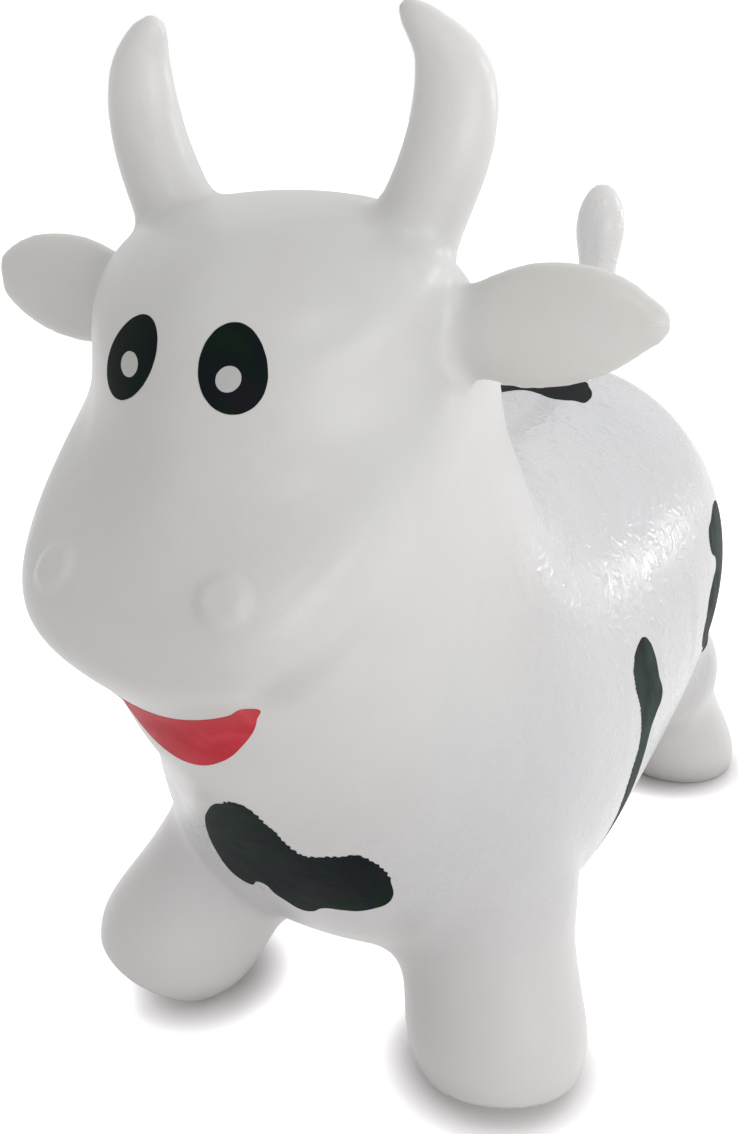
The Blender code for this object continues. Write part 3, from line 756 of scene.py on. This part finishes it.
def blown_vinyl(name):
    """Soft white vinyl.

    It is cool and wrinkled on the body and warmer and smoother on the head. The head and the feet
    are painted lighter than the body, as painted light, and the horns, the ears and the tail
    lighter still, as a painted glow of light through them. It is darker towards the bottom, at the
    soles, and has a moulding seam along the outer ear.
    """
    # The whites of the head, the feet, the horns, the ears and the tail are painted light: the same
    # vinyl set lighter than the body's white. The horns', the ears' and the tail's are lightest, as
    # a painted glow.
    body_white, head_painted_light, horn_painted_glow = (.678, .685, .704), (.752, .753, .735), (.900, .898, .880)
    foot_painted_light, ear_painted_glow, tail_painted_glow = (.765, .756, .752), (.800, .797, .764), (.985, .982, .975)
    haze_tint, mottle_tint, bottom_dark_tint = (.690, .660, .645), (.800, .805, .800), (.42, .39, .36)
    made, tree, shader, place = new_finish(name)
    across, along, height = joined_nodes(tree, "SeparateXYZ", Vector=place).outputs
    off_centre = worked_out(tree, "ABSOLUTE", across)
    along_neck = joined_nodes(tree, "VectorMath", in0=place, in1=neck_facing)
    along_neck.operation = "DOT_PRODUCT"

    head_share = rising(tree, along_neck.outputs["Value"], .225, .335)
    foot_share = falling(tree, height, .045, .150)
    horn_share = product(tree, rising(tree, height, .425, .480), head_share)
    ear_share = product(tree, rising(tree, off_centre, .080, .100), head_share)
    tail_share = product(tree, rising(tree, along, .24, .27), rising(tree, height, .27, .33))
    # Each region's white goes in by its share. The whites lighter than the body's are painted
    # light.
    tint = blended(tree, head_share, body_white, head_painted_light)
    tint = blended(tree, horn_share, tint, horn_painted_glow)
    tint = blended(tree, foot_share, tint, foot_painted_light)
    tint = blended(tree, ear_share, tint, ear_painted_glow)
    tint = blended(tree, tail_share, tint, tail_painted_glow)
    haze = rising(tree, cloud(tree, place, scale=9, detail=3, rough=.55, twist=.4), .35, .68)
    tint = blended(tree, product(tree, haze, .38), tint, haze_tint)
    mottle = cloud(tree, place, scale=55, detail=4, rough=.6, twist=.8, shift=(3, 1, 2))
    mottle = rising(tree, mottle, .42, .66)
    tint = blended(tree, product(tree, mottle, .10), tint, mottle_tint)
    # Darker towards the bottom: the lowest 3 cm are blended towards a dark tint in uneven clouds.
    bottom_darkening = product(tree, falling(tree, height, .000, .030), .55)
    bottom_darkening = product(tree, cloud(tree, place, scale=45, detail=5, rough=.65, twist=.6), bottom_darkening)
    tint = blended(tree, bottom_darkening, tint, bottom_dark_tint)
    tree.links.new(tint, shader.inputs["Base Color"])

    streak = cloud(
        tree, place, scale=20, detail=3, rough=.6, twist=.5, stretch=(1, 1, .35), shift=(5, 2, 7))
    streak = rising(tree, streak, .56, .74)
    satin = joined_nodes(tree, "MapRange", Value=head_share, To_Min=.25, To_Max=.34).outputs[0]
    rub = worked_out(tree, "MULTIPLY_ADD", streak, .10, satin)
    rub = worked_out(tree, "MULTIPLY_ADD", mottle, .05, rub)
    rub = worked_out(tree, "MULTIPLY_ADD", foot_share, .08, rub)
    tree.links.new(rub, shader.inputs["Roughness"])

    smooth_share = worked_out(tree, "MAXIMUM", head_share, foot_share)
    body_share = worked_out(tree, "SUBTRACT", 1.0, smooth_share)
    seat_share = rising(tree, worked_out(tree, "MULTIPLY_ADD", height, .5, along), -.10, .12)
    seat_share = worked_out(tree, "MULTIPLY_ADD", seat_share, .88, .12)
    wrinkled = worked_out(tree, "MULTIPLY_ADD", product(tree, body_share, seat_share), .90, .10)
    wrinkle = cloud(
        tree, place, scale=98, detail=3, rough=.5, twist=1.4, kind="RIDGED_MULTIFRACTAL",
        stretch=(1, .8, 1.2),
    )
    ear_seam = worked_out(tree, "ABSOLUTE", worked_out(tree, "SUBTRACT", height, .3946))
    ear_seam = falling(tree, ear_seam, .0001, .0011)
    outer_ear = rising(tree, off_centre, .118, .138)
    raised(
        tree, shader,
        (cloud(tree, place, scale=30, detail=2, rough=.5, twist=.3), .0010),
        (product(tree, wrinkle, wrinkled), .00062),
        (cloud(tree, place, scale=700, detail=3, rough=.6), .00005),
        (product(tree, ear_seam, outer_ear), .00012),
    )
    return made


def brushed_paint(name, ground, clouds, blots, rough, gloss, thinness=0.0):
    """Matt paint with cloudy shades, fine grain and rubbed specks.

    The thinness says how greenish and thin it is out on the sides.
    """
    thin_green, rubbed = (.058, .105, .082), (.30, .31, .30)
    made, tree, shader, place = new_finish(name)
    shader.inputs["Specular IOR Level"].default_value = gloss
    patch = rising(tree, cloud(tree, place, scale=38, detail=3, rough=.55, twist=.9), .40, .62)
    tint = blended(tree, patch, ground, clouds)
    patch = cloud(tree, place, scale=26, detail=2, rough=.5, twist=.6, shift=(4, 4, 1))
    tint = blended(tree, rising(tree, patch, .48, .70), tint, blots)
    across = joined_nodes(tree, "SeparateXYZ", Vector=place).outputs[0]
    thin = product(tree, rising(tree, worked_out(tree, "ABSOLUTE", across), .112, .124), thinness)
    patch = cloud(tree, place, scale=34, detail=2, rough=.5, twist=.4, shift=(1, 7, 2))
    thin = product(tree, thin, rising(tree, patch, .30, .62))
    tint = blended(tree, thin, tint, thin_green)
    specks = rising(tree, cloud(tree, place, scale=420, detail=4, rough=.7), .66, .78)
    tint = blended(tree, product(tree, specks, .05), tint, rubbed)
    tree.links.new(tint, shader.inputs["Base Color"])
    rub = cloud(tree, place, scale=90, detail=3)
    rub = worked_out(tree, "MULTIPLY_ADD", rub, .14, rough - .07)
    tree.links.new(rub, shader.inputs["Roughness"])
    raised(
        tree, shader,
        (cloud(tree, place, scale=260, detail=4, rough=.65, twist=.4), .00022),
        (cloud(tree, place, scale=1100, detail=2), .00004),
    )
    return made


def valve_vinyl():
    """Clear grey vinyl of the valve, with moulding swirls and fine scratches."""
    made, tree, shader, place = new_finish("valve_vinyl")
    swirl = rising(tree, cloud(tree, place, scale=160, detail=4, rough=.6, twist=1.5), .35, .7)
    tint = blended(tree, swirl, (.56, .57, .57), (.67, .67, .66))
    tree.links.new(tint, shader.inputs["Base Color"])
    scratch = cloud(tree, place, scale=300, detail=3, rough=.6, stretch=(1, 4, 1))
    tree.links.new(worked_out(tree, "MULTIPLY_ADD", scratch, .20, .22), shader.inputs["Roughness"])
    raised(tree, shader, (scratch, .00008), (cloud(tree, place, scale=900, detail=2), .00004))
    return made


def white_floor():
    """A pale floor that shows white, but for the shadow close round what stands on it."""
    shadow_reach, shadow_depth, whiteness = .024, 2.4, .98
    deselect()
    bpy.ops.mesh.primitive_plane_add(size=60, location=(0, 0, 0))
    floor = bpy.context.object
    floor.name = "floor"
    made, tree, shader, _ = new_finish("white_floor")
    shader.inputs["Base Color"].default_value = (.68, .67, .67, 1)
    shader.inputs["Roughness"].default_value = .9
    shader.inputs["Specular IOR Level"].default_value = .1
    shader.inputs["Emission Color"].default_value = (1, .985, .99, 1)
    near = joined_nodes(tree, "AmbientOcclusion", Distance=shadow_reach)
    near.samples = 8
    bare = product(tree, worked_out(tree, "POWER", near.outputs["AO"], shadow_depth), whiteness)
    tree.links.new(product(tree, seen_directly(tree), bare), shader.inputs["Emission Strength"])
    floor.data.materials.append(made)


def studio():
    """White surroundings, wide soft light from the cow's left and above, and three sparkles."""
    white_floor()
    world = bpy.data.worlds.new("studio")
    bpy.context.scene.world = world
    world.use_nodes = True
    tree = world.node_tree
    tree.nodes.clear()
    soft = joined_nodes(tree, "Background", Color=(1, .99, .98, 1), Strength=.555)
    white = joined_nodes(tree, "Background", Color=(1, 1, 1, 1), Strength=1.0)
    mix = joined_nodes(
        tree, "MixShader", in0=seen_directly(tree), in1=soft.outputs[0], in2=white.outputs[0])
    joined_nodes(tree, "OutputWorld", Surface=mix.outputs[0])
    softbox(
        "wide_window", place=(1.08, -.62, .48), aim=(0, -.05, .25), size=(.90, .56),
        power=3.6, colour=(1, .995, .99),
    )
    lamp("sky", (.35, .75, .65), spread=70, power=.58, colour=(.95, .97, 1))
    sparkle("back_sparkle", (.56, .82, .07), spread=6, power=.20, colour=(1, 1, 1))
    sparkle("side_sparkle", (.70, .58, .40), spread=4, power=.24, colour=(1, 1, 1))
    sparkle("front_sparkle", (.42, -.55, .72), spread=3, power=.20, colour=(1, .99, .97))
    bpy.context.scene.view_settings.view_transform = "Standard"


def oval(half_width, half_height, points, egg=0.0, lean=0.0):
    """An upright oval's outline, which may narrow to its top like an egg and lean over."""
    made = []
    for step in range(points):
        angle = 2 * math.pi * step / points
        up = half_height * math.sin(angle)
        made.append(((half_width - egg * up) * math.cos(angle) - up * lean, up))
    return made


def eye_films(whole, side, word):
    """An eye and its glint. The right eye is wider and leans more than the left."""
    if side == 1:
        half_width, lean, drop, glint_width = .0117, .13, .0033, .0043
    else:
        half_width, lean, drop, glint_width = .0134, .28, .0020, .0050
    centre = Vector((.0220 * side, -.25, .3810))
    low = centre - Vector((.0006 * side, 0, drop))
    outline = oval(half_width, .0152, 16, egg=.045, lean=lean * side)
    prism = outline_prism(word + "_eye_shape", outline, centre, forward, .03)
    eye = film(word + "_eye", whole, prism, lambda c: (c - centre).length < .034, paint_height)
    prism = outline_prism(word + "_glint_shape", oval(glint_width, .0044, 8), low, forward, .03)
    glint = film(word + "_eye_glint", whole, prism, lambda c: (c - low).length < .02, glint_height)
    return eye, glint


def side_films(whole, side, word):
    """The patches on one flank and on one side of the rump."""

    def near_flank(c):
        return c.x * side > .075 and -.06 < c.y < .022 and .068 < c.z < .21

    def near_rump(c):
        return c.x * side > .075 and .105 < c.y < .217 and .105 < c.z < .232

    outward = (.13 * side, 0, 0)
    outline = scalloped(flank_outline, first=13, last=21, height=.0006, seed=7)
    prism = outline_prism(word + "_flank_shape", outline, outward, sideways, .06)
    flank = film(word + "_flank_patch", whole, prism, near_flank, paint_height)
    prism = outline_prism(word + "_rump_shape", rump_outline, outward, sideways, .06)
    rump = film(word + "_rump_patch", whole, prism, near_rump, paint_height)
    return flank, rump


def painted_marks(whole):
    """The eyes with their glints, the mouth and the patches, each a film of its own."""

    def near_mouth(c):
        return abs(c.x) < .047 and .212 < c.z < .274 and c.y < -.2

    def near_chest(c):
        return -.04 < c.x < .068 and .095 < c.z < .207 and c.y < -.12

    def near_back(c):
        return abs(c.x) < .06 and .07 < c.y < .17 and c.z > .25

    made = {}
    for side, word in ((1, "left"), (-1, "right")):
        made[word + "_eye"], made[word + "_eye_glint"] = eye_films(whole, side, word)
        made[word + "_flank_patch"], made[word + "_rump_patch"] = side_films(whole, side, word)
    prism = outline_prism("mouth_shape", mouth_outline, (0, -.25, 0), forward, .04)
    made["mouth"] = film("mouth", whole, prism, near_mouth, paint_height)
    outline = scalloped(chest_outline, first=0, last=17, height=.0007, seed=5)
    prism = outline_prism("chest_shape", outline, (0, -.2, 0), forward, .08)
    made["chest_patch"] = film("chest_patch", whole, prism, near_chest, paint_height)
    prism = outline_prism("back_shape", back_outline, (0, 0, .3), upward, .05)
    made["back_patch"] = film("back_patch", whole, prism, near_back, paint_height)
    for name, piece in made.items():
        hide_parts(name)
    return made


camera()
skin = whole_skin()
for stance in front_legs:
    sole, tilt = stance[1:3]
    flattened(skin, sole, (*tilt, -1), lambda c: c.z < foot_top
              and (c - Vector(sole)).length < foot_reach)
flattened(skin, (0, 0, sole_gap), (0, 0, -1), lambda c: c.z < .010)
nostril(skin, 1)
nostril(skin, -1)
bpy.ops.object.shade_smooth()
whole = copy_of(skin, "whole")
marks = painted_marks(whole)
head, bent = limbs(skin, whole)
skin.name = "torso_form"
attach(skin, "body")
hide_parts("torso_skin")
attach(head, "body")
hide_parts("head_skin")
joints = []
for word in ("left", "right"):
    front, rear = "front_" + word, "rear_" + word
    joints += [
        (word + "_horn_form", word + "_horn_end", (word + "_horn", word + "_horn_root")),
        (word + "_ear_form", word + "_ear_end", (word + "_ear", word + "_ear_root")),
        (front + "_foot_form", front + "_foot_end", (front + "_foot", front + "_leg")),
        (rear + "_foot_form", rear + "_foot_end", (rear + "_foot", rear + "_leg")),
    ]
joints.append(("tail_form", "tail_end", ("tail", "tail_root")))
for name, end, nodes in joints:
    limb, point, along = bent[name]
    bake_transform(limb)
    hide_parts(*nodes)
bpy.data.objects.remove(whole)

finishes = {name: blown_vinyl(name) for name in ("body_vinyl", "head_vinyl", "foot_vinyl")}
finishes["black_paint"] = brushed_paint(
    "black_paint", ground=(.0070, .0105, .0130), clouds=(.0065, .0165, .0095),
    blots=(.0135, .0125, .0175), rough=.55, gloss=.03, thinness=.48,
)
finishes["red_paint"] = brushed_paint(
    "red_paint", ground=(.620, .034, .052), clouds=(.700, .058, .080), blots=(.560, .024, .044),
    rough=.50, gloss=.10,
)
finishes["white_paint"] = brushed_paint(
    "white_paint", ground=(.56, .57, .55), clouds=(.60, .61, .59), blots=(.58, .58, .60),
    rough=.50, gloss=.35,
)
dressed = [(skin, "body_vinyl"), (head, "head_vinyl")]
for name, (limb, *_) in bent.items():
    slot = "foot_vinyl" if "foot" in name else "body_vinyl" if "tail" in name else "head_vinyl"
    dressed.append((limb, slot))
for name, piece in marks.items():
    slot = "red_paint" if name == "mouth" else "white_paint" if "glint" in name else "black_paint"
    dressed.append((piece, slot))
for piece, slot in dressed:
    piece.data.materials.clear()
    piece.data.materials.append(finishes[slot])
grey = valve_vinyl()
for name in ("valve_collar", "valve_plug"):
    valve = bpy.data.objects[name]
    valve.data.materials.clear()
    valve.data.materials.append(grey)
studio()
